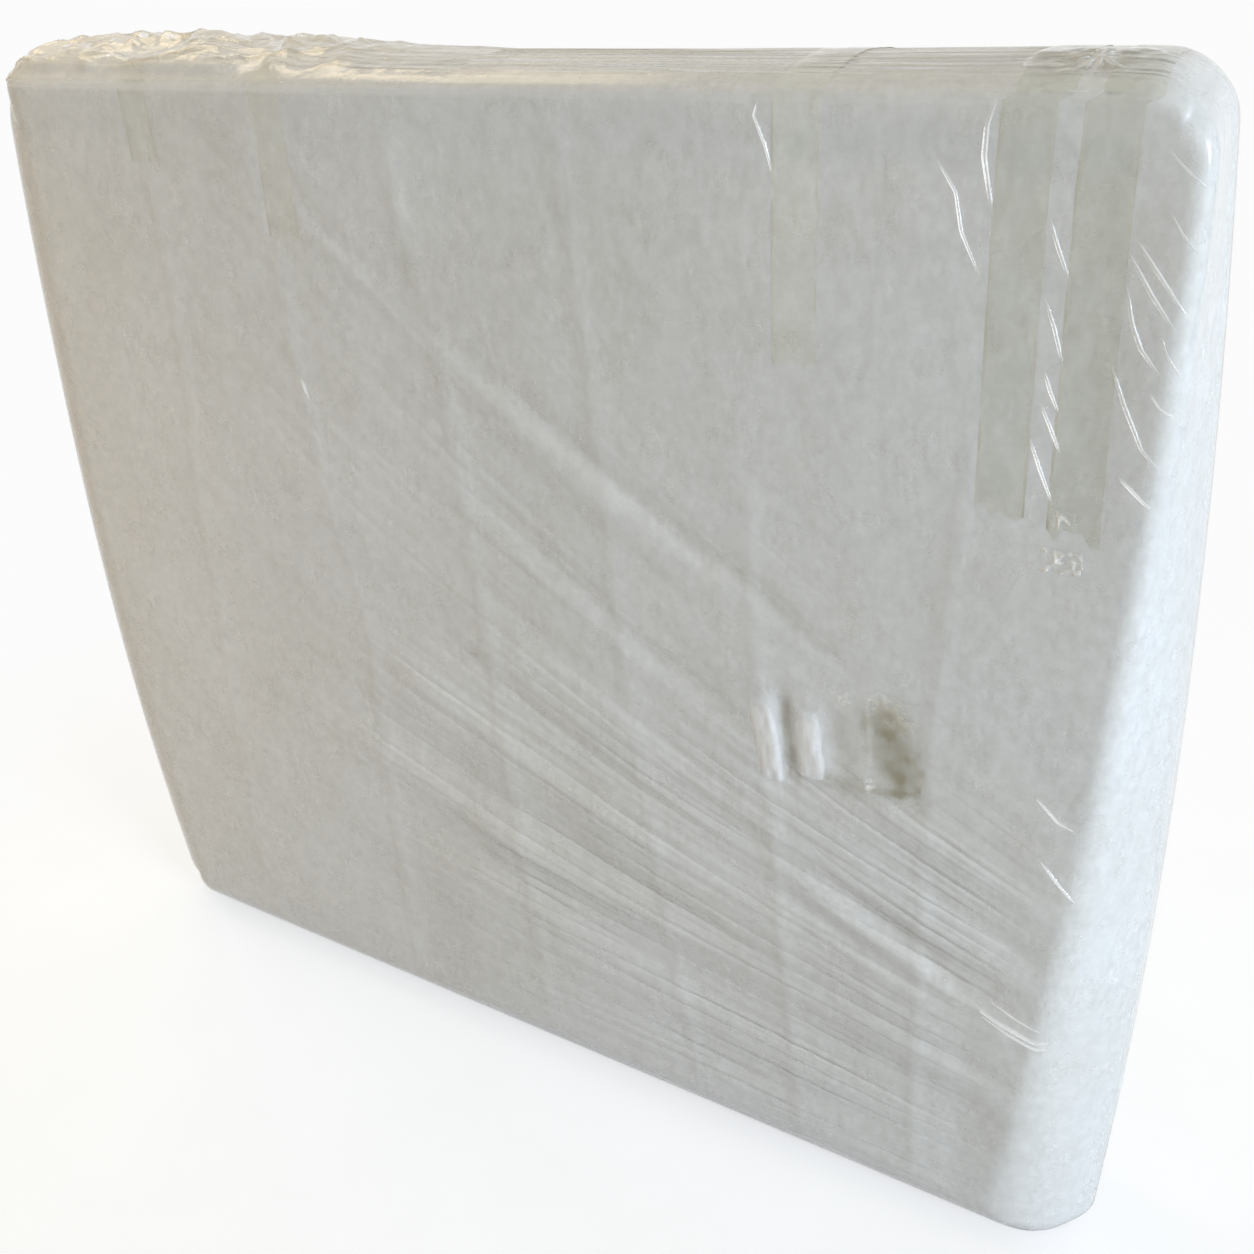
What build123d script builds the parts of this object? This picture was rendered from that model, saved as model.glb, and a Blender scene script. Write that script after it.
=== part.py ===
import os

from build123d import *

# Outer form of the wrapped pack, in millimetres: X across, Y front to back, Z up
pack_width = 1200
pack_height = 1012
pack_depth = 172

# Rounding of the vertical edges, and of the edges round the top and bottom
side_round = 64
end_round = 30

# Film skin and the slack between it and the batting
film_thickness = 0.5
film_slack = 0.3

# Tape strips: drop down the front and back, and centre as a share of the width
tape_width = 36
tape_thickness = 0.3
back_drop = 150
strip_1_drop = 85
strip_2_drop = 150
strip_3_drop = 212
strip_4_drop = 295
strip_5_drop = 305
strip_1_share = -0.294
strip_2_share = -0.153
strip_3_share = 0.267
strip_4_share = 0.402
strip_5_share = 0.443

# Tear in the front film: two slots, with a tuft of batting pushed out of each
tear_share = 0.245
tear_height_share = 0.484
tear_spacing = 37
tear_length = 78
tear_width = 24
tear_lean = 10
tuft_gap = 0.6
tuft_rise = 1.2
tuft_bevel = 0.8

# Patch stuck on the front beside the tear
patch_spacing = 64
patch_lift = 16
patch_width = 82
patch_length = 104
patch_round = 8

# Sizes that follow from these
front_face = -pack_depth / 2
reach = pack_depth
tear_height = pack_height * tear_height_share
tear_1_place = pack_width * tear_share
tear_2_place = tear_1_place + tear_spacing
patch_place = tear_2_place + patch_spacing
patch_height = tear_height + patch_lift


def pack_form(growth):
    """Soft slab with round vertical edges, rounded over at its top and bottom."""
    with BuildPart() as form:
        with BuildSketch(Plane.XY.offset(-growth)):
            RectangleRounded(pack_width + 2 * growth, pack_depth + 2 * growth, side_round + growth)
        extrude(amount=pack_height + 2 * growth)
        fillet(form.faces().sort_by(Axis.Z)[0].edges(), end_round + growth)
        fillet(form.faces().sort_by(Axis.Z)[-1].edges(), end_round + growth)
    return form.part


def front_plane(place, height):
    """Plane on the front face, looking out of it."""
    return Plane(origin=(place, front_face, height), x_dir=(1, 0, 0), z_dir=(0, -1, 0))


def tear_slot(place, margin):
    """Outline of one torn slot."""
    with BuildSketch(front_plane(place, tear_height)) as slot:
        SlotOverall(tear_length - 2 * margin, tear_width - 2 * margin, rotation=90 + tear_lean)
    return slot.sketch


def strip_zone(share, drop):
    """Space that one strip takes up, from the front over the top to the back."""
    with BuildPart() as zone:
        with BuildSketch(Plane.YZ.offset(pack_width * share)):
            with Locations((0, pack_height + reach)):
                Rectangle(reach, reach + drop, align=(Align.MAX, Align.MAX))
                Rectangle(reach, reach + back_drop, align=(Align.MIN, Align.MAX))
        extrude(amount=tape_width / 2, both=True)
    return zone.part


# Forms that the pieces share
wrap_form = pack_form(0)
inside_form = pack_form(-film_thickness)
batting_form = pack_form(-film_thickness - film_slack)
tape_form = pack_form(tape_thickness)
slot_1 = tear_slot(tear_1_place, 0)
slot_2 = tear_slot(tear_2_place, 0)
tuft_1 = tear_slot(tear_1_place, tuft_gap)
tuft_2 = tear_slot(tear_2_place, tuft_gap)
zone_1 = strip_zone(strip_1_share, strip_1_drop)
zone_2 = strip_zone(strip_2_share, strip_2_drop)
zone_3 = strip_zone(strip_3_share, strip_3_drop)
zone_4 = strip_zone(strip_4_share, strip_4_drop)
zone_5 = strip_zone(strip_5_share, strip_5_drop)

# Tufts, each bevelled where it stands out of its slot
with BuildPart() as tuft_pair:
    extrude(tuft_1, amount=tuft_rise)
    extrude(tuft_2, amount=tuft_rise)
    chamfer(tuft_pair.edges().group_by(Axis.Y)[0], tuft_bevel)
    extrude(tuft_1, amount=-tear_width)
    extrude(tuft_2, amount=-tear_width)

# Batting slab, one piece with its tufts
with BuildPart() as batting:
    add(batting_form)
    add(tuft_pair.part)

# Film skin, torn open at the two slots
with BuildPart() as film_wrap:
    add(wrap_form)
    add(inside_form, mode=Mode.SUBTRACT)
    extrude(slot_1, amount=tear_width, both=True, mode=Mode.SUBTRACT)
    extrude(slot_2, amount=tear_width, both=True, mode=Mode.SUBTRACT)

# Tape strips, each lying on the film
with BuildPart() as tape_strip_1:
    add(tape_form)
    add(wrap_form, mode=Mode.SUBTRACT)
    add(zone_1, mode=Mode.INTERSECT)

with BuildPart() as tape_strip_2:
    add(tape_form)
    add(wrap_form, mode=Mode.SUBTRACT)
    add(zone_2, mode=Mode.INTERSECT)

with BuildPart() as tape_strip_3:
    add(tape_form)
    add(wrap_form, mode=Mode.SUBTRACT)
    add(zone_3, mode=Mode.INTERSECT)

with BuildPart() as tape_strip_4:
    add(tape_form)
    add(wrap_form, mode=Mode.SUBTRACT)
    add(zone_4, mode=Mode.INTERSECT)

with BuildPart() as tape_strip_5:
    add(tape_form)
    add(wrap_form, mode=Mode.SUBTRACT)
    add(zone_5, mode=Mode.INTERSECT)

# Patch beside the tear, lying on the film
with BuildPart() as tear_patch:
    add(tape_form)
    add(wrap_form, mode=Mode.SUBTRACT)
    with BuildSketch(front_plane(patch_place, patch_height)):
        RectangleRounded(patch_width, patch_length, patch_round)
    extrude(amount=tear_width, both=True, mode=Mode.INTERSECT)

# Files
os.makedirs("parts", exist_ok=True)
batting.part.label = "batting"
export_step(batting.part, "parts/batting.step")
film_wrap.part.label = "film_wrap"
export_step(film_wrap.part, "parts/film_wrap.step")
tape_strip_1.part.label = "tape_strip_1"
export_step(tape_strip_1.part, "parts/tape_strip_1.step")
tape_strip_2.part.label = "tape_strip_2"
export_step(tape_strip_2.part, "parts/tape_strip_2.step")
tape_strip_3.part.label = "tape_strip_3"
export_step(tape_strip_3.part, "parts/tape_strip_3.step")
tape_strip_4.part.label = "tape_strip_4"
export_step(tape_strip_4.part, "parts/tape_strip_4.step")
tape_strip_5.part.label = "tape_strip_5"
export_step(tape_strip_5.part, "parts/tape_strip_5.step")
tear_patch.part.label = "tear_patch"
export_step(tear_patch.part, "parts/tear_patch.step")
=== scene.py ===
import math

import bpy
import numpy as np
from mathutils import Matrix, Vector


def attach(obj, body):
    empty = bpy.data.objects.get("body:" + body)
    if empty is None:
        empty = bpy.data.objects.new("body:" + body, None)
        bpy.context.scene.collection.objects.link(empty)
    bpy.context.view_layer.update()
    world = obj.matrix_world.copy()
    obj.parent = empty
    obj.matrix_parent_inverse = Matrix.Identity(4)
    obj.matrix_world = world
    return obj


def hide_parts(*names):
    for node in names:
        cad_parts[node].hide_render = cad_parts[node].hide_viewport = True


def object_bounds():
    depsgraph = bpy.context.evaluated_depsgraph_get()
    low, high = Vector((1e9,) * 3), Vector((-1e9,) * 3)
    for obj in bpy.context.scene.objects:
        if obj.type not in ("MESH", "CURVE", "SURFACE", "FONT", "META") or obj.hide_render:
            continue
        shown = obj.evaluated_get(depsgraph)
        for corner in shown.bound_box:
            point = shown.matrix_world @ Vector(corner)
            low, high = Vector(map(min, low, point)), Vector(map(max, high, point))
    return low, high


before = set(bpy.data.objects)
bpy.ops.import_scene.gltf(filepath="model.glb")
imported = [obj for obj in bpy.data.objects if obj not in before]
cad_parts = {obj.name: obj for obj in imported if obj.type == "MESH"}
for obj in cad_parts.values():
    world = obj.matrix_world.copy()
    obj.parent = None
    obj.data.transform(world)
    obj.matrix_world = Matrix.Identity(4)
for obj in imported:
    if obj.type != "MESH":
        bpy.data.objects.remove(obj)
cad_low, cad_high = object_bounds()

# Wrapped pack, in millimetres: X across, Y front to back, Z up. Its box is the solids', puffed up at the top
PUFF = 2.0
HALF = float(round(1000 * cad_high[0]))
DEEP = float(round(1000 * cad_high[1]))
TALL = float(round(1000 * cad_high[2])) + PUFF

# Swell of the two ends, swell of the front and back above and below the middle, and crown of the top
SWELL = 19.0
BULGE_TOP, BULGE_LOW = 5.0, 21.0
CROWN = 17.0

# Share of the height at which the crown starts
CROWN_FROM = 0.86

# Rounding of the long edges, of the upright edges at the left and the right back, and of the corners
TOP_ROUND, LOW_ROUND = 9.0, 45.0
LEFT_ROUND, BACK_ROUND = 73.0, 70.0
TOP_LEFT, TOP_RIGHT, LOW_LEFT, LOW_RIGHT = 58.0, 44.0, 60.0, 30.0

# The right front edge is sharp, and wider low down, between these heights
EDGE_ROUND, EDGE_LOW = 14.0, 25.0
EDGE_FROM, EDGE_TO = 250.0, 20.0

# How far the right front edge leans in, the heights where that starts and ends, and how far it reaches across
LEAN_IN, LEAN_FROM, LEAN_TO = 54.0, 830.0, 200.0
LEAN_LEFT, LEAN_RIGHT = 180.0, 590.0

# Heights where the box of points passes from the front on to the bottom and the top: halfway round the edges
HALF_ARC = 1.0 - math.sqrt(0.5)
FOOT = LOW_ROUND * HALF_ARC
HEAD = TALL - TOP_ROUND * HALF_ARC

# Tape: width, drop down the back, and for each strip its middle and how far it comes down the front.
# The strips right of WORN_FROM are greyer
TAPE, BACK_DROP = 36.0, 150.0
STRIPS = [(-349.0, 85.0), (-181.0, 150.0), (320.0, 205.0), (480.0, 292.0), (532.0, 302.0)]
WORN_FROM = 400.0

# Fan of fine lines on the front: height that it runs down to, and how fast its lines run together
FAN_FOOT, FAN_PULL = 20.0, 0.00105

# Lines seen on the front, as drawn points (x, z). First the edges of the film's wraps
FILM_EDGES = [
    [(-360, 985), (-345, 895), (-352, 700), (-372, 420), (-392, 90)],
    [(-196, 860), (-190, 720), (-145, 480), (-160, 155), (-162, 60)],
    [(-52, 960), (-43, 870), (-20, 800), (-8, 650), (10, 430), (28, 60)],
    [(118, 980), (125, 915), (145, 705), (160, 490), (205, 60)],
    [(282, 700), (283, 615), (298, 430), (318, 60)],
    [(463, 800), (455, 720), (438, 520), (434, 60)],
]

# Faint white lines below the top edge: film streaks with painted highlight
FAINT = [
    [(-395, 995), (-430, 950), (-470, 880)],
    [(-375, 995), (-400, 930), (-420, 850)],
    [(-340, 990), (-332, 945), (-326, 925)],
    [(-190, 990), (-200, 930), (-205, 880)],
]

# Soft folds: line, height (a hollow is below 0) and width. The raised ones get painted highlight
FOLDS = [
    ([(-25, 800), (45, 755), (145, 695), (240, 640), (370, 570)], -2.6, 6.5),
    ([(-40, 790), (45, 730), (145, 668), (250, 610)], 1.8, 15.0),
    ([(0, 660), (80, 605), (170, 550), (270, 500)], -2.4, 6.5),
    ([(-10, 640), (80, 582), (180, 525), (270, 478)], 1.6, 13.0),
    ([(-40, 590), (60, 530), (180, 465), (300, 415), (420, 372)], -1.8, 7.0),
    ([(-230, 520), (-90, 450), (90, 362), (270, 295), (440, 236)], 2.0, 9.0),
    ([(-330, 400), (-160, 340), (60, 268), (260, 222), (480, 182)], 1.6, 9.0),
    ([(-165, 905), (-120, 870), (-75, 845)], -1.4, 5.0),
    ([(-160, 885), (-115, 850), (-60, 815)], 1.4, 6.0),
    ([(380, 440), (430, 410), (490, 385), (550, 375)], -1.8, 8.0),
    ([(345, 470), (420, 435), (500, 400), (555, 392)], 1.6, 10.0),
    ([(430, 520), (490, 490), (545, 470)], 1.4, 8.0),
    ([(300, 400), (390, 345), (470, 295), (550, 266)], -3.6, 9.0),
    ([(290, 370), (390, 315), (470, 280), (550, 262)], 4.4, 8.0),
    ([(300, 330), (400, 290), (480, 262), (550, 254)], -2.6, 6.0),
    ([(320, 310), (410, 272), (485, 252), (550, 246)], 2.6, 6.0),
    ([(200, 300), (330, 240), (440, 205), (540, 180)], 2.0, 8.0),
]

# Sharp creases that catch the light, with painted highlight along them: width and line. The last ones are
# small pleats down the right edge
GLINTS = [
    (1.0, [(500, 922), (506, 906), (515, 886)]),
    (1.0, [(501, 872), (508, 855), (516, 830)]),
    (1.0, [(504, 825), (509, 812), (516, 798)]),
    (1.0, [(503, 803), (510, 790), (519, 770)]),
    (1.0, [(498, 778), (506, 758), (517, 734)]),
    (1.0, [(553, 914), (568, 894), (588, 868)]),
    (1.0, [(550, 905), (566, 880), (582, 859)]),
    (1.0, [(551, 884), (556, 862), (563, 846), (577, 829)]),
    (1.0, [(546, 835), (557, 808), (570, 781), (582, 769)]),
    (1.0, [(557, 761), (580, 741)]),
    (1.0, [(423, 955), (437, 935), (442, 911), (457, 882)]),
    (1.4, [(459, 994), (454, 978), (454, 958), (462, 924)]),
    (1.0, [(292, 990), (289, 980), (298, 959), (303, 942)]),
    (1.0, [(-187, 739), (-181, 721)]),
    (2.0, [(487, 280), (508, 271), (535, 263), (549, 265)]),
    (1.4, [(492, 273), (512, 263), (537, 256), (556, 259)]),
    (1.0, [(500, 290), (520, 281), (540, 276)]),
    (1.0, [(523, 500), (540, 484), (553, 480)]),
    (1.0, [(529, 446), (545, 428), (558, 415)]),
]
GLINTS += [
    (0.5, [(564 + z % 11, z), (578, z - 10 - z % 5), (589, z - 16 - z % 13)])
    for z in range(968, 800, -37)
]

# Section of a crease: place across it, height and painted highlight, each as a share
CREASE_SECTION = [(-1.4, 0.0, 0.1), (-0.5, 0.8, 0.8), (0.1, 1.0, 1.0), (0.7, 0.6, 0.9), (1.6, 0.0, 0.1)]

# Tear: hollows in the batting, then dirt and painted shade on the batting and on the film: line, depth or
# strength, and width
DENTS = [
    ([(308, 526), (318, 458)], 7.0, 5.0),
    ([(352, 524), (362, 466)], 3.0, 12.0),
    ([(300, 446), (385, 456), (425, 462)], 2.5, 10.0),
]
SMUDGES_AND_SHADE = [
    ([(400, 532), (416, 484)], 0.9, 17.0),
    # The next two are painted shade: the slit between the tufts, and a shadow under the hollow below the
    # patch
    ([(309, 524), (319, 460)], 0.7, 4.0),
    ([(350, 462), (420, 466)], 0.6, 6.0),
]
GRIME_AND_SHADE = [
    ([(-22, 495), (-10, 493)], 0.6, 3.0),
    # Painted shade in the slit between the tufts
    ([(309, 524), (319, 462)], 0.45, 4.0),
]

# Tufts of batting pushed out through the torn film: head, foot, half width and height
TUFTS = [((287, 532), (301, 445), 14.0, 5.5), ((331, 530), (337, 458), 14.0, 4.5)]

# Clear patch beside the tear: middle, half size, raised fold, a dirty smear, a painted shadow line along its
# foot, and painted highlights as bright spots with sizes
PATCH_X, PATCH_Z = 391.0, 508.0
PATCH_WIDE, PATCH_HIGH = 42.0, 47.0
PATCH_RIDGE = [(382, 548), (386, 505), (384, 468)]
PATCH_SMEAR = [(400, 526), (418, 488)]
PATCH_SHADOW_LINE = [(346, 466), (370, 462), (400, 466), (425, 472)]
SPARKLES = [((363, 545), 7.0), ((393, 549), 6.0), ((402, 543), 9.0), ((415, 536), 8.0), ((388, 471), 6.0)]

# Knot on the top: place that the film is pulled to, then middle and reach of the gathered film
PULL_X, PULL_Y = 500.0, -38.0
KNOT_X, KNOT_Y, KNOT_FAR = 502.0, -40.0, 44.0

# Brightness of the white behind the pack, refraction of the film, and the colour of dirt and painted shade on
# the fibre and on the film
WHITE = 0.97
FILM_IOR = 1.36
FIBRE_DIRT_AND_SHADE = (0.34, 0.31, 0.20, 1)
FILM_DIRT_AND_SHADE = (0.36, 0.33, 0.23, 1)


def smooth(x, a, b):
    """0 at a, 1 at b, and a soft step between."""
    t = np.clip((x - a) / (b - a), 0.0, 1.0)
    return t * t * (3.0 - 2.0 * t)


def bell(d, wide):
    """1 where d is 0, fading out over a distance of about wide."""
    return np.exp(-((d / wide) ** 2))


def scramble(a, b, seed):
    """A fixed number from -1 to 1 for each pair of whole numbers."""
    n = (a * 374761393 + b * 668265263 + seed * 974634777) & 0x7FFFFFFF
    n = ((n ^ (n >> 13)) * 1274126177) & 0x7FFFFFFF
    n = ((n ^ (n >> 15)) * 1911520717) & 0x7FFFFFFF
    return ((n >> 8) & 0xFFFF) / 32767.5 - 1.0


def ease(t):
    """Step from 0 to 1 that is soft enough for shaded surfaces."""
    return t * t * t * (t * (t * 6 - 15) + 10)


def noise(x, y, seed):
    """Soft noise over two directions, from -1 to 1."""
    x, y = np.broadcast_arrays(np.asarray(x, float), np.asarray(y, float))
    xi = np.floor(x).astype(np.int64)
    yi = np.floor(y).astype(np.int64)
    fx = ease(x - xi)
    fy = ease(y - yi)
    low = scramble(xi, yi, seed) * (1 - fx) + scramble(xi + 1, yi, seed) * fx
    high = scramble(xi, yi + 1, seed) * (1 - fx) + scramble(xi + 1, yi + 1, seed) * fx
    return low * (1 - fy) + high * fy


def near(x, z, path):
    """Distance to a drawn line, and how far along it (0 to 1) the nearest point lies."""
    best = np.full(np.shape(x), 1e9)
    along = np.zeros(np.shape(x))
    steps = [math.dist(a, b) for a, b in zip(path, path[1:])]
    done = 0.0
    for (ax, az), (bx, bz), step in zip(path, path[1:], steps):
        t = np.clip(((x - ax) * (bx - ax) + (z - az) * (bz - az)) / step**2, 0, 1)
        d = np.hypot(x - ax - t * (bx - ax), z - az - t * (bz - az))
        closer = d < best
        best = np.where(closer, d, best)
        along = np.where(closer, (done + t * step) / sum(steps), along)
        done += step
    return best, along


def round_rect(px, py, a, b, ra, rb):
    """Moves points of a box outline a by b on to one whose corners are arcs of ra across by rb up."""
    u = np.abs(px) - (a - ra)
    v = np.abs(py) - (b - rb)
    corner = (u > 0) & (v > 0)
    k = np.maximum(u / ra, v / rb) / np.maximum(np.hypot(u / ra, v / rb), 1e-9)
    qx = np.where(corner, np.sign(px) * (a - ra + u * k), px)
    qy = np.where(corner, np.sign(py) * (b - rb + v * k), py)
    return qx, qy


def form(grid, grow=0.0):
    """Soft pack: grid is (s, t, w) on the faces of a box from -1 to 1. Gives points in millimetres."""
    s, t, w = grid.T
    z = FOOT + (w + 1) / 2 * (HEAD - FOOT)
    v = 2 * z / TALL - 1
    a = HALF - SWELL * v**2 + grow
    b = DEEP - np.where(v > 0, BULGE_TOP, BULGE_LOW) * v**2 + grow
    # The front and back draw in where they pass into the rounded long edges
    up = np.clip((z - (TALL - TOP_ROUND)) / TOP_ROUND, 0, 1)
    down = np.clip((LOW_ROUND - z) / LOW_ROUND, 0, 1)
    b_in = b - TOP_ROUND * (1 - np.sqrt(1 - up**2)) - LOW_ROUND * (1 - np.sqrt(1 - down**2))
    # Seen from above the upright edges are round
    edge = EDGE_ROUND + (EDGE_LOW - EDGE_ROUND) * smooth(z, EDGE_FROM, EDGE_TO)
    r = np.where(s < 0, LEFT_ROUND, np.where(t < 0, edge, BACK_ROUND)) + grow - (b - b_in)
    x, y = round_rect(s * a, t * b_in, a, b_in, r, r)
    side, _ = round_rect(np.sign(s) * a, t * b_in, a, b_in, r, r)
    # The top and bottom go on inwards from the rounded long edges
    size = np.where(w > 0, TOP_ROUND, LOW_ROUND)
    inset = np.clip(size * HALF_ARC + (1 - np.abs(t)) * b, 0, size)
    drop = size - np.sqrt(np.maximum(size**2 - (size - inset) ** 2, 0))
    z = np.where(w == 1, TALL + grow - drop, np.where(w == -1, drop - grow, z))
    # Seen from the front the corners are round, and the top is crowned from front to back
    mid = TALL / 2
    left = np.where(w > 0, TOP_LEFT, LOW_LEFT)
    right = np.where(w > 0, TOP_RIGHT, LOW_RIGHT)
    corner = np.where(s < 0, left, right) + grow
    wide = np.abs(side)
    x, z = round_rect(x, z - mid, wide, mid + grow - drop, corner - (a - wide), corner - drop)
    z = z + mid
    z = z - CROWN * (y / DEEP) ** 2 * smooth(z, CROWN_FROM * TALL, TALL)
    # At the right the front edge leans in towards the floor
    lean = LEAN_IN * np.clip((LEAN_FROM - z) / (LEAN_FROM - LEAN_TO), -0.2, 1)
    x = x - lean * np.clip(-y / b, 0, 1) ** 1.5 * smooth(x, LEAN_LEFT, LEAN_RIGHT)
    return np.column_stack([x, y, z])


def facing(grid):
    """Which points lie on the front, back, right, left, top and bottom."""
    s, t, w = grid.T
    return t == -1, t == 1, s == 1, s == -1, w == 1, w == -1


def margins(grid):
    """Distance of each point from the ends of the box: across, front to back, and up, in millimetres."""
    s, t, w = np.abs(grid.T)
    return (1 - s) * HALF, (1 - t) * DEEP, (1 - w) * TALL / 2


def open_face(grid):
    """1 on the open front and back, fading out to 0 at their edges and on the other faces."""
    mx, my, mz = margins(grid)
    return (my == 0) * smooth(mx, 4, 70) * smooth(mz, 4, 60)


def lumps(p):
    """Large and small lumps of the batting on the front and back. The large ones only go inwards."""
    x, y, z = p.T
    side = np.where(y < 0, 1, 2)
    big = noise(x / 170 + 9 * side, z / 150, 3) * 1.6 + noise(x / 70, z / 90 + 7 * side, 5) * 0.9
    small = noise((x + 0.7 * z) / 15, (z - 0.7 * x) / 40, 11) * 0.3 + noise(x / 9, z / 14, 12) * 0.16
    return big - 2.2, small


def dent(grid, p):
    """Depth of the hollow round the tear, where the batting is pulled out."""
    deep = np.zeros(len(p))
    for path, depth, wide in DENTS:
        d, _ = near(p[:, 0], p[:, 2], path)
        deep = deep + depth * bell(d, wide)
    return np.where(grid[:, 1] == -1, deep, 0)


def calm(x, z):
    """1 on the open front, and less under the tape, where the film lies flat."""
    keep = np.ones(np.shape(x))
    for place, drop in STRIPS:
        under = smooth(TAPE / 2 + 9 - np.abs(x - place), 0, 9) * smooth(z, TALL - drop - 14, TALL - drop)
        keep = keep * (1 - 0.85 * under)
    return keep


def flow(x, z):
    """A height that stays the same along the film's lines, which run together towards the lower right."""
    return (z - FAN_FOOT) * np.exp(FAN_PULL * x)


def fan(x, z):
    """How strong the fanned lines are on the front, from 0 to about 1."""
    # Strong below a line that climbs from the left to the middle, and faint above it
    bound = 330 + 210 * smooth(x, -330, -50) - 0.08 * np.maximum(x, 0)
    low = smooth(bound - z, -30, 120) * (0.3 + 0.7 * smooth(x, -300, 80))
    high = 0.22 * smooth(990 - 0.62 * x - z, 0, 320) * smooth(x, -420, -150) * (1 - smooth(x, 330, 520))
    patchy = 0.8 + 0.3 * noise(x / 150, z / 120, 23)
    return np.maximum(low, high) * patchy * calm(x, z)


def front_film(x, z):
    """Wrinkles of the film on the front: how far out they stand, in millimetres, and how white they look,
    with painted highlight on the raised folds.
    """
    f = flow(x, z)
    rise = 3.0 * noise(f / 44, x / 420, 25) + 2.8 * noise(f / 24, x / 320, 26)
    rise = fan(x, z) * (rise + 1.0)
    white = np.zeros(np.shape(x))
    for path, high, wide in FOLDS:
        d, along = near(x + 5 * noise(z / 60, x / 90, 31), z + 5 * noise(x / 55, z / 80, 32), path)
        body = bell(d, wide) * np.sin(np.pi * np.clip(0.08 + 0.72 * along, 0, 1))
        rise = rise + high * body
        # Painted highlight on raised folds
        white = white + 0.02 * max(high, 0) * body
    for i, path in enumerate(FILM_EDGES):
        d, along = near(x, z, path)
        rise = rise + bell(d, 6.0)
        white = white + (0.18 + 0.12 * noise(along * 7, i, 42)) * bell(d, 5.0)
    for path in FAINT:
        d, along = near(x, z, path)
        white = white + 0.3 * bell(d, 4.5) * np.sin(np.pi * np.clip(along, 0.05, 0.95))
    keep = calm(x, z)
    return rise * keep, np.clip(white, 0, 1) * (0.3 + 0.7 * keep)


def top_folds(x, y):
    """Film heaped on the top at the left, and the film pulled towards the knot at the right."""
    bend = 30 * noise(x / 130, y / 90, 67)
    fold = 1 - 2 * np.abs(noise((x + bend) / 75 + y / 160, (y - 0.35 * x) / 48, 68))
    heap = (5.0 + 7.5 * np.clip(fold, -0.3, 1)) * smooth(x, -560, -480) * (1 - smooth(x, -330, 10))
    far = np.hypot(x - PULL_X, y - PULL_Y)
    turn = np.arctan2(y - PULL_Y, x - PULL_X)
    knot = 3.2 * bell(far, 36) * (0.6 + 0.4 * np.cos(7 * turn + 3 * noise(far / 15, turn, 69)))
    return heap, knot


def film_rise(grid, p):
    """Height of the film's wrinkles over the pack's form, in millimetres, and how white they look, with
    painted highlight on their crests.
    """
    x, y, z = p.T
    front, back, right, left, top, _ = facing(grid)
    mx, my, mz = margins(grid)
    inside = smooth(mx, 6, 50) * smooth(mz, 8, 50)
    ends = smooth(my, 25, 60) * smooth(mz, 10, 60)
    over = smooth(my, 3, 20) * smooth(mx, 10, 60)
    wraps = np.maximum(noise(x / 300, z / 16, 61), 0)
    wraps = wraps + np.maximum(noise((x + z) / 34, (x - z) / 240, 62), 0)
    pleats = np.maximum(noise(y / 9, z / 420, 63), 0)
    runs = np.maximum(noise(x / 260, y / 9, 65), 0)
    runs = runs + 0.5 * np.maximum(noise(x / 150 + y / 30, y / 7, 66), 0)
    heap, knot = top_folds(x, y)
    rise, white = front_film(x, z)
    rise = rise * front * inside
    white = white * front * (0.25 + 0.75 * inside)
    # On the back, the sides and the top the whiteness follows the wrinkles' height: painted highlight on
    # their crests
    for on, high, pale in (
        (back, 0.8 * wraps * inside, 0.2 * wraps * inside),
        (right | left, 0.8 * pleats * ends, 0.25 * pleats * ends),
        (top, (1.3 * runs + heap + knot) * over, (0.25 * runs + 0.16 * knot) * over),
    ):
        rise = np.where(on, high, rise)
        white = np.where(on, pale, white)
    # Painted highlight along the top edge of the front, brightest at the left
    rim = bell(z - TALL + CROWN + 5, 2.2) * (y < 0) * (1.0 - 0.8 * smooth(x, -200, 300))
    return rise, np.clip(white + rim, 0, 1)


def streaks(grid, p):
    """Places across and along the film's finest lines, and how strong they are, at each point."""
    x, y, z = p.T
    _, back, right, left, top, bottom = facing(grid)
    mx, my, mz = margins(grid)
    across = flow(x, z) / 12
    along = x / 260
    strong = fan(x, z) * smooth(mx, 4, 120) * smooth(mz, 4, 30)
    slant = 0.02 * z * smooth(-y, -20, 80)
    for on, off, way, much in (
        (back | bottom, z / 11, x / 300, 0.35 * smooth(mx, 4, 40) * smooth(mz, 4, 30)),
        (right | left, y / 4.5 + slant, z / 320, 0.15 * smooth(my, 20, 55) * smooth(mz, 4, 40)),
        (top, y / 5.0, x / 260, 0.8 * smooth(my, 2, 20) * smooth(mx, 4, 60)),
    ):
        across = np.where(on, off, across)
        along = np.where(on, way, along)
        strong = np.where(on, much, strong)
    return {"across": across, "along": along, "fan": strong}


def outward(grid):
    """Unit normal of the pack's form, found by growing it."""
    n = form(grid, 1.0) - form(grid, 0.0)
    return n / np.maximum(np.linalg.norm(n, axis=1), 1e-6)[:, None]


def batting_points(grid):
    """Places of points on the batting, a little inside the film."""
    p = form(grid, -1.0)
    big, small = lumps(p)
    rise, _ = film_rise(grid, p)
    move = (big + small - 0.3) * open_face(grid) + 0.9 * rise - dent(grid, p)
    return p + outward(grid) * move[:, None]


def film_points(grid, lift=0.0, wrinkled=1.0):
    """Places of points lift above the film, with that share of its wrinkles, and how white the film is."""
    p = form(grid)
    big, small = lumps(p)
    rise, white = film_rise(grid, p)
    move = (big + 0.35 * small) * open_face(grid) + rise * wrinkled + lift - 0.8 * dent(grid, p)
    return p + outward(grid) * move[:, None], white


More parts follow.
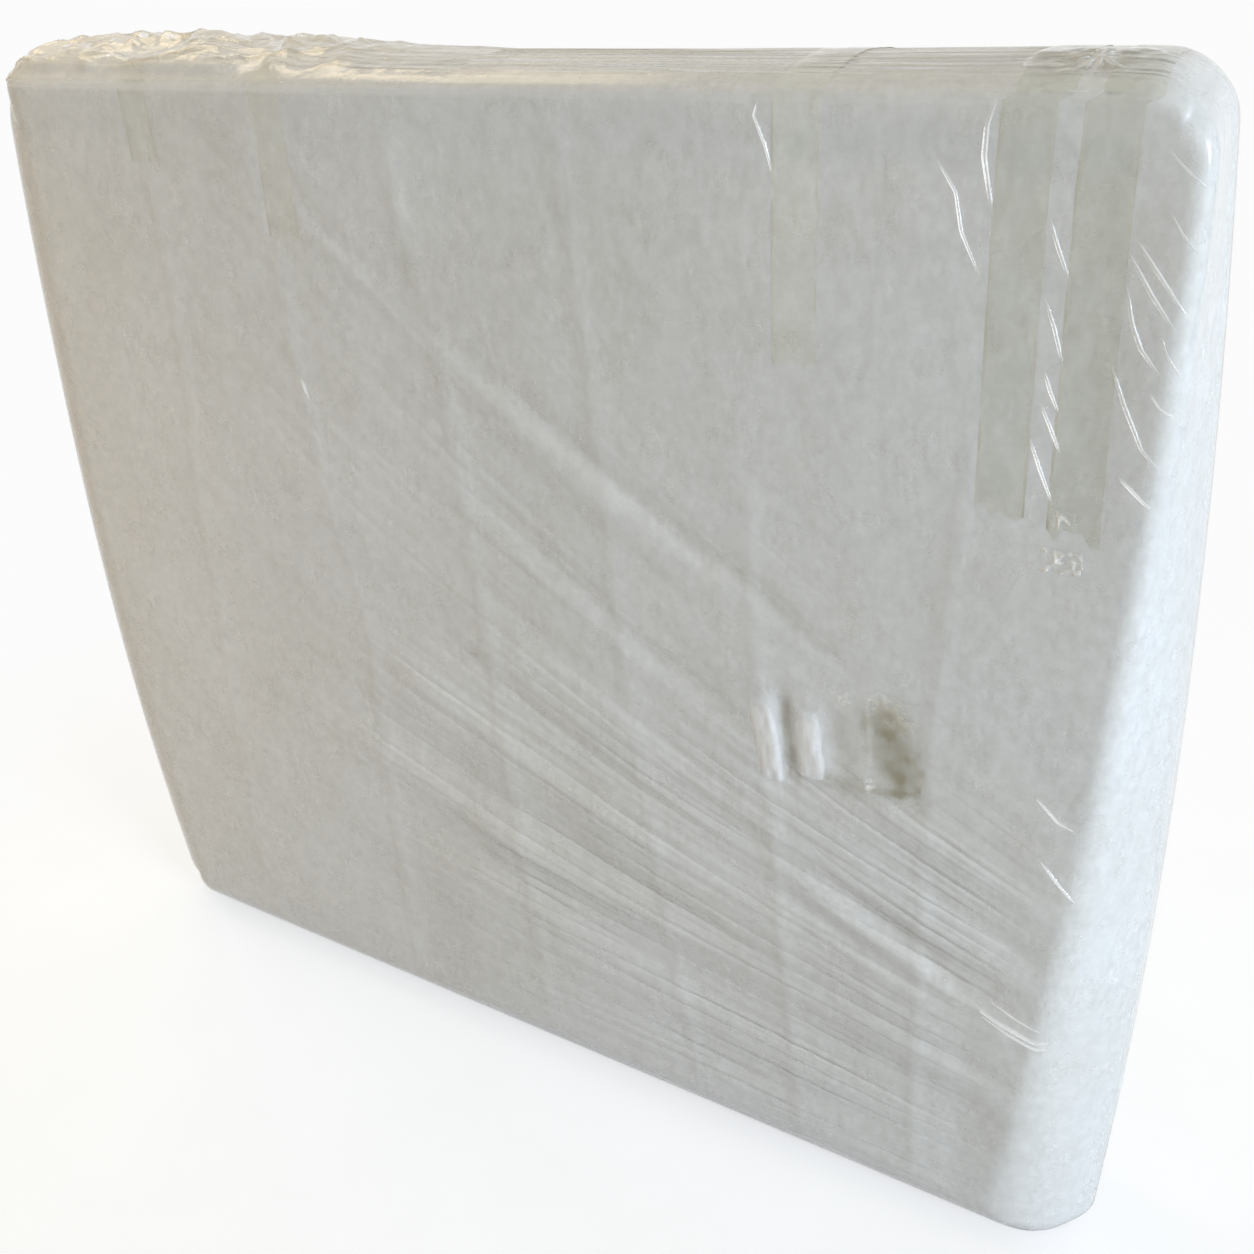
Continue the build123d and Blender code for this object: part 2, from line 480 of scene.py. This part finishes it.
def on_front(x, z, face=-1.0):
    """Grid places of points (x, z) on the front, or on the back where face is 1."""
    x = np.asarray(x, float)
    z = np.asarray(z, float)
    gx = x.copy()
    gz = z.copy()
    for _ in range(5):
        w = np.clip((gz - FOOT) / (HEAD - FOOT) * 2 - 1, -1, 1)
        grid = np.column_stack([np.clip(gx / HALF, -1, 1), np.full(len(gx), face), w])
        p = form(grid)
        gx = gx + x - p[:, 0]
        gz = gz + z - p[:, 2]
    return grid


def on_top(x, y):
    """Grid places of points (x, y) on the top."""
    s = np.clip(x / (HALF - SWELL), -1, 1)
    t = np.clip(y / (DEEP - BULGE_TOP - 3), -1, 1)
    return np.column_stack([s, t, np.ones(len(x))])


def mesh_of(u, v):
    """A flat grid of points from two lists, one for each direction."""
    a, b = np.meshgrid(u, v, indexing="ij")
    return a.ravel(), b.ravel()


def quads(n):
    """Faces between the numbered points of a grid."""
    return np.stack([n[:-1, :-1], n[1:, :-1], n[1:, 1:], n[:-1, 1:]], -1).reshape(-1, 4)


def sheet_faces(nu, nv):
    """Faces of an open grid of nu by nv points."""
    return quads(np.arange(nu * nv).reshape(nu, nv))


def box_grid(nx, ny, nz):
    """Points on the faces of a box from -1 to 1, closer together near its edges, and its faces."""
    number = -np.ones((nx + 1, ny + 1, nz + 1), dtype=np.int64)
    i, j, k = np.meshgrid(np.arange(nx + 1), np.arange(ny + 1), np.arange(nz + 1), indexing="ij")
    on = (i == 0) | (i == nx) | (j == 0) | (j == ny) | (k == 0) | (k == nz)
    number[on] = np.arange(on.sum())
    grid = np.column_stack([i[on] * 2 / nx - 1, j[on] * 2 / ny - 1, k[on] * 2 / nz - 1])
    grid = np.sign(grid) * (1 - (1 - np.abs(grid)) ** 1.18)
    faces = [
        quads(number[:, 0, :]), quads(number[:, -1, :])[:, ::-1], quads(number[0])[:, ::-1],
        quads(number[-1]), quads(number[:, :, 0])[:, ::-1], quads(number[:, :, -1]),
    ]
    return grid, np.concatenate(faces)


def make(name, points, faces, material, **values):
    """A smooth mesh piece from points in millimetres. values become numbers kept at its points."""
    mesh = bpy.data.meshes.new(name)
    mesh.from_pydata((np.asarray(points) / 1000.0).tolist(), [], [list(map(int, f)) for f in faces])
    mesh.polygons.foreach_set("use_smooth", np.ones(len(mesh.polygons), dtype=bool))
    for key, v in values.items():
        mesh.attributes.new(key, "FLOAT", "POINT").data.foreach_set("value", np.asarray(v, dtype=np.float32))
    mesh.materials.append(material)
    piece = bpy.data.objects.new(name, mesh)
    bpy.context.collection.objects.link(piece)
    return piece


def piece_of(name, points, faces, material, slot, nodes=(), shadow=False, **values):
    """Makes a piece that rides on the pack and stands for the given solids. Only the slab casts a shadow."""
    piece = make(name, points, faces, material, **values)
    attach(piece, "root")
    if nodes:
        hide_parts(*nodes)
    piece.visible_shadow = shadow
    return piece


class Nodes:
    """Short way to add and join the nodes of a material or of the world."""

    def __init__(self, owner, end="ShaderNodeOutputMaterial"):
        owner.use_nodes = True
        self.owner = owner
        self.tree = owner.node_tree
        self.tree.nodes.clear()
        self.end = self.tree.nodes.new(end)

    def set(self, socket, value):
        """Joins another node's output to a socket, or sets a plain value on it."""
        if isinstance(value, bpy.types.NodeSocket):
            self.tree.links.new(value, socket)
        else:
            socket.default_value = value

    def add(self, kind, inputs=(), **settings):
        """Adds a node and gives its outputs."""
        node = self.tree.nodes.new(kind)
        for key, value in settings.items():
            setattr(node, key, value)
        for key, value in dict(inputs).items():
            self.set(node.inputs[key], value)
        return node.outputs

    def math(self, operation, a, b=0.0, clamp=False):
        """Sum on one or two numbers."""
        return self.add("ShaderNodeMath", {0: a, 1: b}, operation=operation, use_clamp=clamp)[0]

    def total(self, *parts, clamp=False):
        """Sum of (value, share) pairs."""
        scaled = [self.math("MULTIPLY", value, share) for value, share in parts]
        whole = scaled[0]
        for part in scaled[1:]:
            last = part is scaled[-1]
            whole = self.math("ADD", whole, part, clamp=clamp and last)
        return whole

    def ramp(self, value, stops):
        """Colour that passes through stops, each a place and a colour."""
        node = self.tree.nodes.new("ShaderNodeValToRGB")
        self.set(node.inputs["Fac"], value)
        elements = node.color_ramp.elements
        for i in (0, -1):
            elements[i].position = stops[i][0]
            elements[i].color = (*stops[i][1], 1)
        for place, colour in stops[1:-1]:
            elements.new(place).color = (*colour, 1)
        return node.outputs["Color"]

    def spread(self, scale, detail=3.0, stretch=(1, 1, 1), rough=0.55):
        """Noise over the piece's own place, from 0 to 1."""
        place = self.add("ShaderNodeTexCoord")["Object"]
        place = self.add("ShaderNodeMapping", {"Vector": place, "Scale": stretch})[0]
        inputs = {"Vector": place, "Scale": scale, "Detail": detail, "Roughness": rough}
        return self.add("ShaderNodeTexNoise", inputs)["Fac"]

    def value(self, name):
        """Number kept at the piece's points."""
        return self.add("ShaderNodeAttribute", attribute_name=name)["Fac"]

    def mix(self, fac, a, b, blend="MIX"):
        """Blend of two colours."""
        node = self.tree.nodes.new("ShaderNodeMix")
        node.data_type = "RGBA"
        node.blend_type = blend
        for key, value in {"Factor": fac, "A": a, "B": b}.items():
            self.set(next(s for s in node.inputs if s.name == key and s.enabled), value)
        return next(s for s in node.outputs if s.enabled)

    def bump(self, height, strength, distance):
        """Normal that follows a relief."""
        return self.add("ShaderNodeBump", {"Height": height, "Strength": strength, "Distance": distance})[0]

    def blend(self, fac, a, b):
        """Blend of two shaders."""
        return self.add("ShaderNodeMixShader", {0: fac, 1: a, 2: b})[0]

    def seen(self):
        """1 for what the camera sees, straight or in and through the film, and 0 for light on the pack."""
        path = self.add("ShaderNodeLightPath")
        by_film = self.math("MAXIMUM", path["Is Glossy Ray"], path["Is Transmission Ray"])
        return self.math("MAXIMUM", path["Is Camera Ray"], by_film)

    def done(self, shader):
        """Joins the finished shader and gives the material or world."""
        self.tree.links.new(shader, self.end.inputs["Surface"])
        return self.owner


def new_material(name):
    """Nodes of a new material."""
    return Nodes(bpy.data.materials.new(name))


def line_height(n):
    """Relief of the film's finest lines, and of broad ridges with narrow grooves between, from 0 to 1."""
    place = n.add("ShaderNodeCombineXYZ", {"X": n.value("across"), "Y": n.value("along")})[0]
    inputs = {"Vector": place, "Scale": 1.0, "Detail": 1.0, "Roughness": 0.4}
    fine = n.add("ShaderNodeTexNoise", inputs, noise_dimensions="2D")["Fac"]
    inputs = {"Vector": place, "Scale": 0.42, "Detail": 0.0}
    broad = n.add("ShaderNodeTexNoise", inputs, noise_dimensions="2D")["Fac"]
    off = n.math("ABSOLUTE", n.math("SUBTRACT", broad, 0.5))
    return fine, n.math("POWER", n.math("MULTIPLY", off, 7.0, clamp=True), 0.6)


def batting_material():
    """Matted white fibre: fine hair, soft felt lumps, cloudy tone, some dirt and painted shade."""
    n = new_material("batting_fibre")
    cloud = n.spread(5.0, 3.0)
    felt = n.spread(60.0, 2.0, (1.0, 1.0, 0.7))
    hair = n.spread(170.0, 2.0, (1.0, 1.0, 0.5))
    shade = n.total((felt, 0.15), (hair, 0.85))
    stops = [(0.3, (0.69, 0.69, 0.675)), (0.5, (0.76, 0.76, 0.75)), (0.7, (0.83, 0.83, 0.825))]
    warm = n.ramp(cloud, [(0.35, (0.97, 0.96, 0.935)), (0.62, (1.0, 1.0, 1.0))])
    tone = n.mix(1.0, n.ramp(shade, stops), warm, "MULTIPLY")
    # Dirt, and painted shade in the tear's slit and under its hollow
    colour = n.mix(n.value("smudge_and_shade"), tone, FIBRE_DIRT_AND_SHADE)
    fine, ridge = line_height(n)
    lines = n.math("MULTIPLY", n.total((fine, 1.1), (ridge, 0.8)), n.value("fan"))
    relief = n.math("ADD", n.total((felt, 0.24), (hair, 0.22)), lines)
    inputs = {"Base Color": colour, "Roughness": 0.95, "Specular IOR Level": 0.15}
    inputs |= {"Sheen Weight": 0.2, "Sheen Roughness": 0.6, "Normal": n.bump(relief, 0.8, 0.0022)}
    return n.done(n.add("ShaderNodeBsdfPrincipled", inputs)[0])


def film_material(name, tint, haze, body, rough, scale, depth, lined=False):
    """Clear film: what is behind shows through, with a thin haze, white creases and painted highlight, dirt
    and painted shade, and a glossy skin.
    """
    n = new_material(name)
    crinkle = n.spread(scale, 4.0, rough=0.6)
    height = n.math("MULTIPLY", crinkle, depth)
    cover = n.total((n.value("white"), 0.7), (crinkle, 2 * haze), (n.value("dirt"), 0.8), clamp=not lined)
    if lined:
        fine, ridge = line_height(n)
        strong = n.value("fan")
        lines = n.total((fine, 0.7), (ridge, 0.4))
        height = n.math("ADD", height, n.math("MULTIPLY", lines, strong))
        # Painted highlight on the crests of the finest lines
        sharp = n.math("SUBTRACT", fine, 0.56, clamp=True)
        sharp = n.math("MULTIPLY", sharp, n.math("MULTIPLY", strong, 0.4))
        cover = n.math("ADD", cover, sharp, clamp=True)
    normal = n.bump(height, 1.0, 0.004)
    colour = n.mix(n.value("dirt"), (*body, 1), FILM_DIRT_AND_SHADE)
    see = n.add("ShaderNodeBsdfTransparent", {"Color": (*tint, 1)})[0]
    veil = n.add("ShaderNodeBsdfDiffuse", {"Color": colour, "Normal": normal})[0]
    gloss = n.add("ShaderNodeBsdfGlossy", {"Color": (1, 1, 1, 1), "Roughness": rough, "Normal": normal})[0]
    shine = n.add("ShaderNodeFresnel", {"IOR": FILM_IOR, "Normal": normal})[0]
    return n.done(n.blend(shine, n.blend(cover, see, veil), gloss))


def tuft_material():
    """Clean, loose fibre that thins out towards its edges."""
    n = new_material("tuft_fibre")
    hair = n.spread(300.0, 5.0, (1.0, 1.0, 0.25), 0.7)
    colour = n.ramp(hair, [(0.3, (0.86, 0.88, 0.91)), (0.7, (0.94, 0.95, 0.97))])
    inputs = {"Base Color": colour, "Roughness": 0.9, "Specular IOR Level": 0.2, "Sheen Weight": 0.2}
    solid = n.add("ShaderNodeBsdfPrincipled", inputs | {"Normal": n.bump(hair, 0.4, 0.001)})[0]
    thick = n.value("thick")
    ragged = n.math("MULTIPLY", n.math("SUBTRACT", hair, 0.5), 0.5)
    cover = n.math("ADD", thick, n.math("MULTIPLY", ragged, thick), clamp=True)
    see = n.add("ShaderNodeBsdfTransparent", {"Color": (1, 1, 1, 1)})[0]
    return n.done(n.blend(cover, see, solid))


fibre = batting_material()
tuft = tuft_material()
film = film_material("film_clear", tint=(0.97, 0.97, 0.97), haze=0.34, body=(0.84, 0.85, 0.86),
                     rough=0.16, scale=26.0, depth=0.08, lined=True)
tape = film_material("tape_clear", tint=(0.995, 0.99, 0.95), haze=0.05, body=(0.80, 0.77, 0.66),
                     rough=0.12, scale=60.0, depth=0.15)
old_tape = film_material("tape_worn", tint=(0.91, 0.91, 0.855), haze=0.05, body=(0.80, 0.77, 0.66),
                         rough=0.12, scale=60.0, depth=0.15)
crumple = film_material("film_crumpled", tint=(0.95, 0.945, 0.93), haze=0.16, body=(0.90, 0.89, 0.86),
                        rough=0.06, scale=70.0, depth=0.3)
stuck = film_material("patch_film", tint=(0.985, 0.98, 0.965), haze=0.02, body=(0.93, 0.92, 0.90),
                      rough=0.06, scale=70.0, depth=0.3)
crease = film_material("film_crease", tint=(0.98, 0.98, 0.98), haze=0.10, body=(0.95, 0.95, 0.95),
                       rough=0.05, scale=70.0, depth=0.1)


def make_batting():
    """Batting slab, dirty round the tear, with painted shade in the slit between the tufts and below the
    hollow.
    """
    grid, faces = box_grid(176, 26, 150)
    points = batting_points(grid)
    x, _, z = points.T
    smudge_and_shade = np.zeros(len(points))
    for path, dark, wide in SMUDGES_AND_SHADE:
        d, _ = near(x + 6 * noise(x / 14, z / 14, 71), z, path)
        smudge_and_shade = np.maximum(smudge_and_shade, dark * bell(d, wide) * (grid[:, 1] == -1))
    values = {"smudge_and_shade": smudge_and_shade} | streaks(grid, points)
    batting = piece_of("batting_slab", points, faces, fibre, "batting", ["batting"], shadow=True, **values)


def film_grime_and_shade(grid, points):
    """Dirt and painted shade on the film: a mark on the front, painted shade in the slit between the tufts,
    and age along the back of the top.
    """
    x, y, z = points.T
    grime_and_shade = np.zeros(len(points))
    for path, dark, wide in GRIME_AND_SHADE:
        d, _ = near(x, z, path)
        grime_and_shade = np.maximum(grime_and_shade, dark * bell(d, wide) * (grid[:, 1] == -1))
    aged = np.clip(0.5 + noise(x / 200, y / 11, 73) + 0.6 * noise(x / 90, y / 7, 74), 0, 1)
    aged = aged * smooth(y, -70, 60) * (grid[:, 2] == 1) * smooth(margins(grid)[0], 8, 80)
    return np.maximum(grime_and_shade, 0.75 * aged * smooth(x, -420, 200))


def make_film():
    """Film skin, and the part of it that lies under the pack."""
    grid, faces = box_grid(208, 30, 178)
    points, white = film_points(grid)
    values = {"white": white, "dirt": film_grime_and_shade(grid, points)} | streaks(grid, points)
    under = (grid[faces][:, :, 2] == -1).all(axis=1)
    skin = piece_of("film_skin", points, faces[~under], film, "film", ["film_wrap"], **values)
    base = piece_of("film_base", points, faces[under], film, "film", **values)


def make_strip(i, place, drop):
    """Tape strip, from the front over the top and down the back."""
    count, step = 13, 5.0
    # Height of the front and back edges of the top
    turn = TALL - CROWN - 4
    across = np.linspace(-0.5, 0.5, count) * TAPE
    x = place + across
    up = np.arange(TALL - drop, turn, step)
    over = np.linspace(-DEEP, DEEP, 40)
    down = np.arange(turn, TALL - BACK_DROP, -step)
    rows = [on_front(x, np.full(count, z)) for z in up]
    rows += [on_top(x, np.full(count, y)) for y in over]
    rows += [on_front(x, np.full(count, z), 1.0) for z in down]
    grid = np.concatenate(rows)
    row, col = mesh_of(np.arange(len(rows)), across)
    snug = np.where(grid[:, 2] == 1, 1.0, 0.5)
    points, _ = film_points(grid, 0.5 + 0.2 * noise(col / 9, row / 4, 81 + i), snug)
    # The end on the front is torn off
    points[:, 2] += np.where(row == 0, 6 * noise(col / 6, i, 91), 0)
    rim = np.exp(-(TAPE / 2 - np.abs(col)) / 1.5)
    end = np.exp(-row * step / 30.0)
    worn = 0.5 + 0.5 * noise(row / 5, col / 9, 85 + i)
    dirt = (0.5 - 0.2 * np.sign(col)) * rim * worn * (row < len(up)) + 0.5 * end * worn * (0.3 + rim)
    values = {"white": 0.12 * rim, "dirt": np.clip(dirt, 0, 1)}
    faces = sheet_faces(len(rows), count)[:, ::-1]
    material = tape if place < WORN_FROM else old_tape
    strip = piece_of(f"tape_{i + 1}", points, faces, material, "tape", [f"tape_strip_{i + 1}"], **values)


def make_tuft(i, head, foot, wide, high):
    """Tuft of batting pushed out through the torn film."""
    count = (61, 27)
    u, v = mesh_of(np.linspace(-1, 1, count[0]), np.linspace(-1, 1, count[1]))
    half = wide * np.clip(1 - np.abs(u) ** 8, 0, 1) ** 0.4 * (1 + 0.1 * noise(u * 3, i, 95))
    t = (u + 1) / 2
    x = foot[0] + t * (head[0] - foot[0]) + v * half + 1.5 * noise(u * 2.5, v, 97 + i)
    z = foot[1] + t * (head[1] - foot[1])
    rise = np.clip(1 - v**4, 0, 1) * np.clip(1 - u**6, 0, 1)
    thick = smooth(1 - np.abs(v), 0, 0.5) * smooth(1 + u, 0, 0.2) * smooth(1 - u, 0, 0.5)
    lift = -1.0 + rise * (high + 1.0 + 0.6 * noise(x / 6, z / 13, 96))
    points, _ = film_points(on_front(x, z), lift, 0.0)
    lobe = piece_of(f"tuft_{i + 1}", points, sheet_faces(*count)[:, ::-1], tuft, "batting", thick=thick)


def patch_marks(x, z, rim, fold, ridge):
    """Whiteness, dirt and painted shade of the patch: pale rim and fold, painted highlight spots, a smear and
    a painted shadow line along its foot.
    """
    white = 0.35 * rim * np.clip(0.3 - fold, 0, 1) + 0.16 * ridge
    # Painted highlights
    for (spot_x, spot_z), size in SPARKLES:
        sparkle = bell(np.hypot(x - spot_x, z - spot_z), size)
        white = np.clip(white + 1.8 * sparkle * (0.4 + noise(x / 2.5, z / 2.5, 108)), 0, 1)
    d, _ = near(x + 4 * noise(x / 12, z / 12, 105), z, PATCH_SMEAR)
    dirt = np.exp(-((d / 24) ** 3)) * (0.8 + 0.35 * noise(x / 9, z / 9, 106))
    # Painted shadow line along the foot of the patch
    d, _ = near(x, z + 2 * noise(x / 9, z, 107), PATCH_SHADOW_LINE)
    return {"white": white, "dirt": np.clip(dirt + 0.5 * bell(d, 4), 0, 0.95)}


def make_patch():
    """Clear patch beside the tear."""
    count = (53, 61)
    u, v = mesh_of(np.linspace(-1, 1, count[0]), np.linspace(-1, 1, count[1]))
    x = PATCH_X + PATCH_WIDE * u + 4 * noise(v * 3, u, 101)
    z = PATCH_Z + PATCH_HIGH * v + 4 * noise(u * 3, v, 102)
    fold = np.abs(noise(x / 13, z / 16, 103)) + 0.6 * np.abs(noise(x / 6, z / 7, 104))
    rim = smooth(np.maximum(np.abs(u), np.abs(v)), 0.55, 0.95)
    d, _ = near(x, z, PATCH_RIDGE)
    ridge = bell(d, 3.5)
    lift = 1.2 + 2.6 * rim * np.maximum(0.5 - fold, 0) + 1.8 * ridge
    points, _ = film_points(on_front(x, z), lift, 0.2)
    values = patch_marks(x, z, rim, fold, ridge)
    patch = piece_of("patch_clear", points, sheet_faces(*count), stuck, "tape", ["tear_patch"], **values)


def crease_strip(wide, path, count):
    """Points of one sharp crease along a line, and their painted highlight."""
    path = np.array(path, float)
    far = np.concatenate([[0], np.cumsum(np.linalg.norm(np.diff(path, axis=0), axis=1))])
    step = np.linspace(0, far[-1], count)
    x = np.interp(step, far, path[:, 0])
    z = np.interp(step, far, path[:, 1])
    way = np.gradient(np.column_stack([x, z]), axis=0)
    way /= np.linalg.norm(way, axis=1)[:, None]
    leaf = np.clip(np.sin(np.pi * step / far[-1]), 0, 1) ** 0.7
    points = []
    for off, high, _ in CREASE_SECTION:
        side = wide * off * (0.35 + 0.65 * leaf)
        grid = on_front(x - way[:, 1] * side, z + way[:, 0] * side)
        points.append(film_points(grid, 0.5 + 1.5 * wide * high * leaf, 0.8)[0])
    # Painted highlight, strongest along the crest
    pale = [shine * leaf for _, _, shine in CREASE_SECTION]
    return np.concatenate(points), np.concatenate(pale)


def make_creases():
    """Sharp creases that catch the light, with painted highlight, in one piece."""
    count = 25
    strips = [crease_strip(wide, path, count) for wide, path in GLINTS]
    one = sheet_faces(len(CREASE_SECTION), count)
    faces = np.concatenate([one + i * len(CREASE_SECTION) * count for i in range(len(strips))])
    points = np.concatenate([p for p, _ in strips])
    white = np.concatenate([pale for _, pale in strips])
    glints = piece_of("film_creases", points, faces, crease, "film", white=white)


def make_scrap(name, x, y, count, high, coarse, seed, place, clear, fade=0.0):
    """Crumpled film over x by y, laid where place says. Its folds are about coarse wide and high tall.

    Folds lower than clear get no painted highlight, and the hollows get painted shade. Where fade isn't 0,
    the far end thins out and is tucked in.
    """
    u, v = mesh_of(np.linspace(*x, count[0]), np.linspace(*y, count[1]))
    s = (u - x[0]) / (x[1] - x[0])
    t = (v - y[0]) / (y[1] - y[0])
    bend = noise(u / (3 * coarse), v / (2 * coarse), seed) * coarse
    fold = noise((u + bend) / coarse + v / (3 * coarse), (v - 0.4 * u) / (0.7 * coarse), seed + 1)
    small = noise(u / (0.45 * coarse), (v + bend) / (0.35 * coarse), seed + 2)
    fold = np.clip(1 - 2 * np.abs(fold), -0.2, 1) + 0.28 * (1 - 2 * np.abs(small))
    rim = smooth(s, 0, 0.08) * smooth(1 - s, 0, 0.1 + fade) * smooth(t, 0, 0.12) * smooth(1 - t, 0, 0.12)
    tuck = 1 - smooth(1 - s, 0, fade / 4) if fade else 0
    lift = 1.0 - 2.2 * tuck + high * rim * np.clip(0.45 + 0.6 * fold, 0, 1.4)
    wave = 0.3 * coarse * noise(u / coarse, v / coarse, seed + 3) * rim
    points, _ = film_points(place(u + wave, v), lift)
    # Painted highlight on the fold crests, painted shade in the hollows
    white = np.clip(1.1 * (fold - clear), 0, 1) * rim
    dirt = 0.4 * np.clip(-fold + 0.1, 0, 1) * rim
    piece = piece_of(name, points, sheet_faces(*count), crumple, "film", white=white, dirt=dirt)


def make_knot():
    """Film gathered into a knot on the top, between the last two strips, with painted highlight on its folds
    and painted shade between them.
    """
    count = (97, 18)
    turn, v = mesh_of(np.linspace(0, 2 * np.pi, count[0]), np.linspace(0, 1, count[1]))
    far = KNOT_FAR * v
    pull = np.cos(9 * turn + 2.2 * noise(far / 9, 3 * np.cos(turn), 151)) * bell(far, 26) * smooth(far, 1, 9)
    lift = 0.8 + 4.0 * bell(far, 12) + 2.2 * pull * (1 - v)
    points, _ = film_points(on_top(KNOT_X + far * np.cos(turn), KNOT_Y + far * np.sin(turn)), lift)
    # Painted highlight on the raised folds, painted shade in the hollows between them
    white = np.clip(0.9 * pull + 0.7 * bell(far, 6), 0, 1)
    dirt = np.clip(-1.1 * pull - 0.1, 0, 0.9)
    knot = piece_of("film_knot", points, sheet_faces(*count)[:, ::-1], stuck, "film", white=white, dirt=dirt)


def floor_material():
    """Pale floor that keeps the pack's shadow, and is plain white further off."""
    n = new_material("floor_pale")
    seen = n.seen()
    colour = n.ramp(n.spread(8.0, 2.0), [(0.3, (0.50, 0.53, 0.58)), (0.7, (0.52, 0.55, 0.60))])
    base = n.add("ShaderNodeBsdfDiffuse", {"Color": colour})[0]
    glow = n.add("ShaderNodeEmission", {"Color": (1, 1, 1, 1), "Strength": n.math("MULTIPLY", seen, 0.6)})[0]
    close_by = n.add("ShaderNodeAddShader", {0: base, 1: glow})[0]
    place = n.add("ShaderNodeTexCoord")["Object"]
    far = n.add("ShaderNodeVectorMath", {0: place}, operation="LENGTH")["Value"]
    far = n.add("ShaderNodeMapRange", {"Value": far, "From Min": 0.65, "From Max": 1.4})[0]
    white = n.add("ShaderNodeEmission", {"Color": (1, 1, 1, 1), "Strength": WHITE})[0]
    return n.done(n.blend(n.math("MULTIPLY", far, seen), close_by, white))


def make_floor():
    """Floor, a hair below the pack."""
    reach = 9000
    corners = [(-reach, -reach, 0), (reach, -reach, 0), (reach, reach, 0), (-reach, reach, 0)]
    floor = make("floor", corners, [(0, 1, 2, 3)], floor_material())
    floor.location.z = -0.0005


def make_world():
    """White to look at, and a soft warm light on the pack."""
    world = bpy.data.worlds.new("studio")
    bpy.context.scene.world = world
    n = Nodes(world, "ShaderNodeOutputWorld")
    pale = n.add("ShaderNodeBackground", {"Color": (1, 1, 1, 1), "Strength": WHITE})[0]
    soft = n.add("ShaderNodeBackground", {"Color": (1.0, 0.89, 0.65, 1), "Strength": 0.36})[0]
    n.done(n.blend(n.seen(), soft, pale))


def make_lamp(name, place, aim, size, watts, colour, shows=True, spread=180):
    """A soft lamp. Where shows is False the film doesn't mirror it. spread is its beam in degrees."""
    data = bpy.data.lights.new(name, "AREA")
    data.spread = math.radians(spread)
    data.shape = "RECTANGLE"
    data.size, data.size_y = size
    data.energy = watts
    data.color = colour
    lamp = bpy.data.objects.new(name, data)
    lamp.location = place
    lamp.rotation_euler = (Vector(aim) - Vector(place)).to_track_quat("-Z", "Y").to_euler()
    lamp.visible_camera = False
    lamp.visible_glossy = shows
    bpy.context.collection.objects.link(lamp)


def make_camera(place, turn, lens):
    """Camera at the photograph's place. turn is in degrees and lens in millimetres on a 36 mm sensor."""
    camera = bpy.data.objects.new("camera", bpy.data.cameras.new("camera"))
    camera.data.sensor_width = 36.0
    camera.data.lens = lens
    camera.location = place
    camera.rotation_euler = tuple(math.radians(v) for v in turn)
    bpy.context.collection.objects.link(camera)
    bpy.context.scene.camera = camera


# The pack
make_batting()
make_film()
for i, (place, drop) in enumerate(STRIPS):
    make_strip(i, place, drop)
for i, sizes in enumerate(TUFTS):
    make_tuft(i, *sizes)
make_patch()
make_creases()

# Loose film over the heap on the top, and the loose ends below the last strip
make_scrap("film_bunch", x=(-565, 60), y=(-80, 78), count=(210, 66), high=8.0, coarse=36.0, seed=111,
           place=on_top, clear=0.65, fade=0.6)
make_scrap("film_end_1", x=(509, 540), y=(684, 703), count=(36, 26), high=7.0, coarse=8.0, seed=131,
           place=on_front, clear=0.2)
make_scrap("film_end_2", x=(518, 533), y=(716, 730), count=(28, 26), high=4.5, coarse=6.0, seed=141,
           place=on_front, clear=0.2)
make_knot()

# Floor, world, lamps and camera, in metres
make_floor()
make_world()
make_lamp("window_right", place=(4.9, -1.5, 1.75), aim=(0.2, 0.0, 0.5), size=(1.5, 1.9), watts=168,
          colour=(0.75, 0.865, 1.0))
make_lamp("front_fill", place=(-0.4, -3.4, 0.9), aim=(0.0, 0.0, 0.4), size=(2.4, 1.4), watts=5.5,
          colour=(1.0, 0.82, 0.6))
make_lamp("floor_bounce", place=(0.5, -1.9, 0.12), aim=(0.1, 0.0, 0.2), size=(1.8, 0.2), watts=2.6,
          colour=(0.96, 0.97, 1.0), shows=False)
make_lamp("left_warm", place=(-1.0, -2.0, 0.8), aim=(-0.85, 0.0, 0.55), size=(0.5, 0.9), watts=0.7,
          colour=(1.0, 0.66, 0.30), shows=False, spread=60)
make_lamp("left_fill", place=(-3.4, 0.6, 0.8), aim=(-0.6, 0.0, 0.5), size=(1.2, 1.2), watts=18,
          colour=(0.80, 0.89, 1.0), shows=False)
make_lamp("top_warm", place=(-1.1, 0.1, 2.2), aim=(-0.5, 0.0, 1.0), size=(0.9, 0.9), watts=9.0,
          colour=(1.0, 0.82, 0.56))
make_lamp("back_fill", place=(0.2, 3.4, 0.8), aim=(0.0, 0.0, 0.5), size=(2.4, 1.2), watts=36,
          colour=(0.97, 0.98, 1.0), shows=False)
make_camera(place=(0.78, -0.992, 1.109), turn=(63.47, 3.09, 32.75), lens=41.13)
bpy.context.scene.view_settings.view_transform = "Standard"
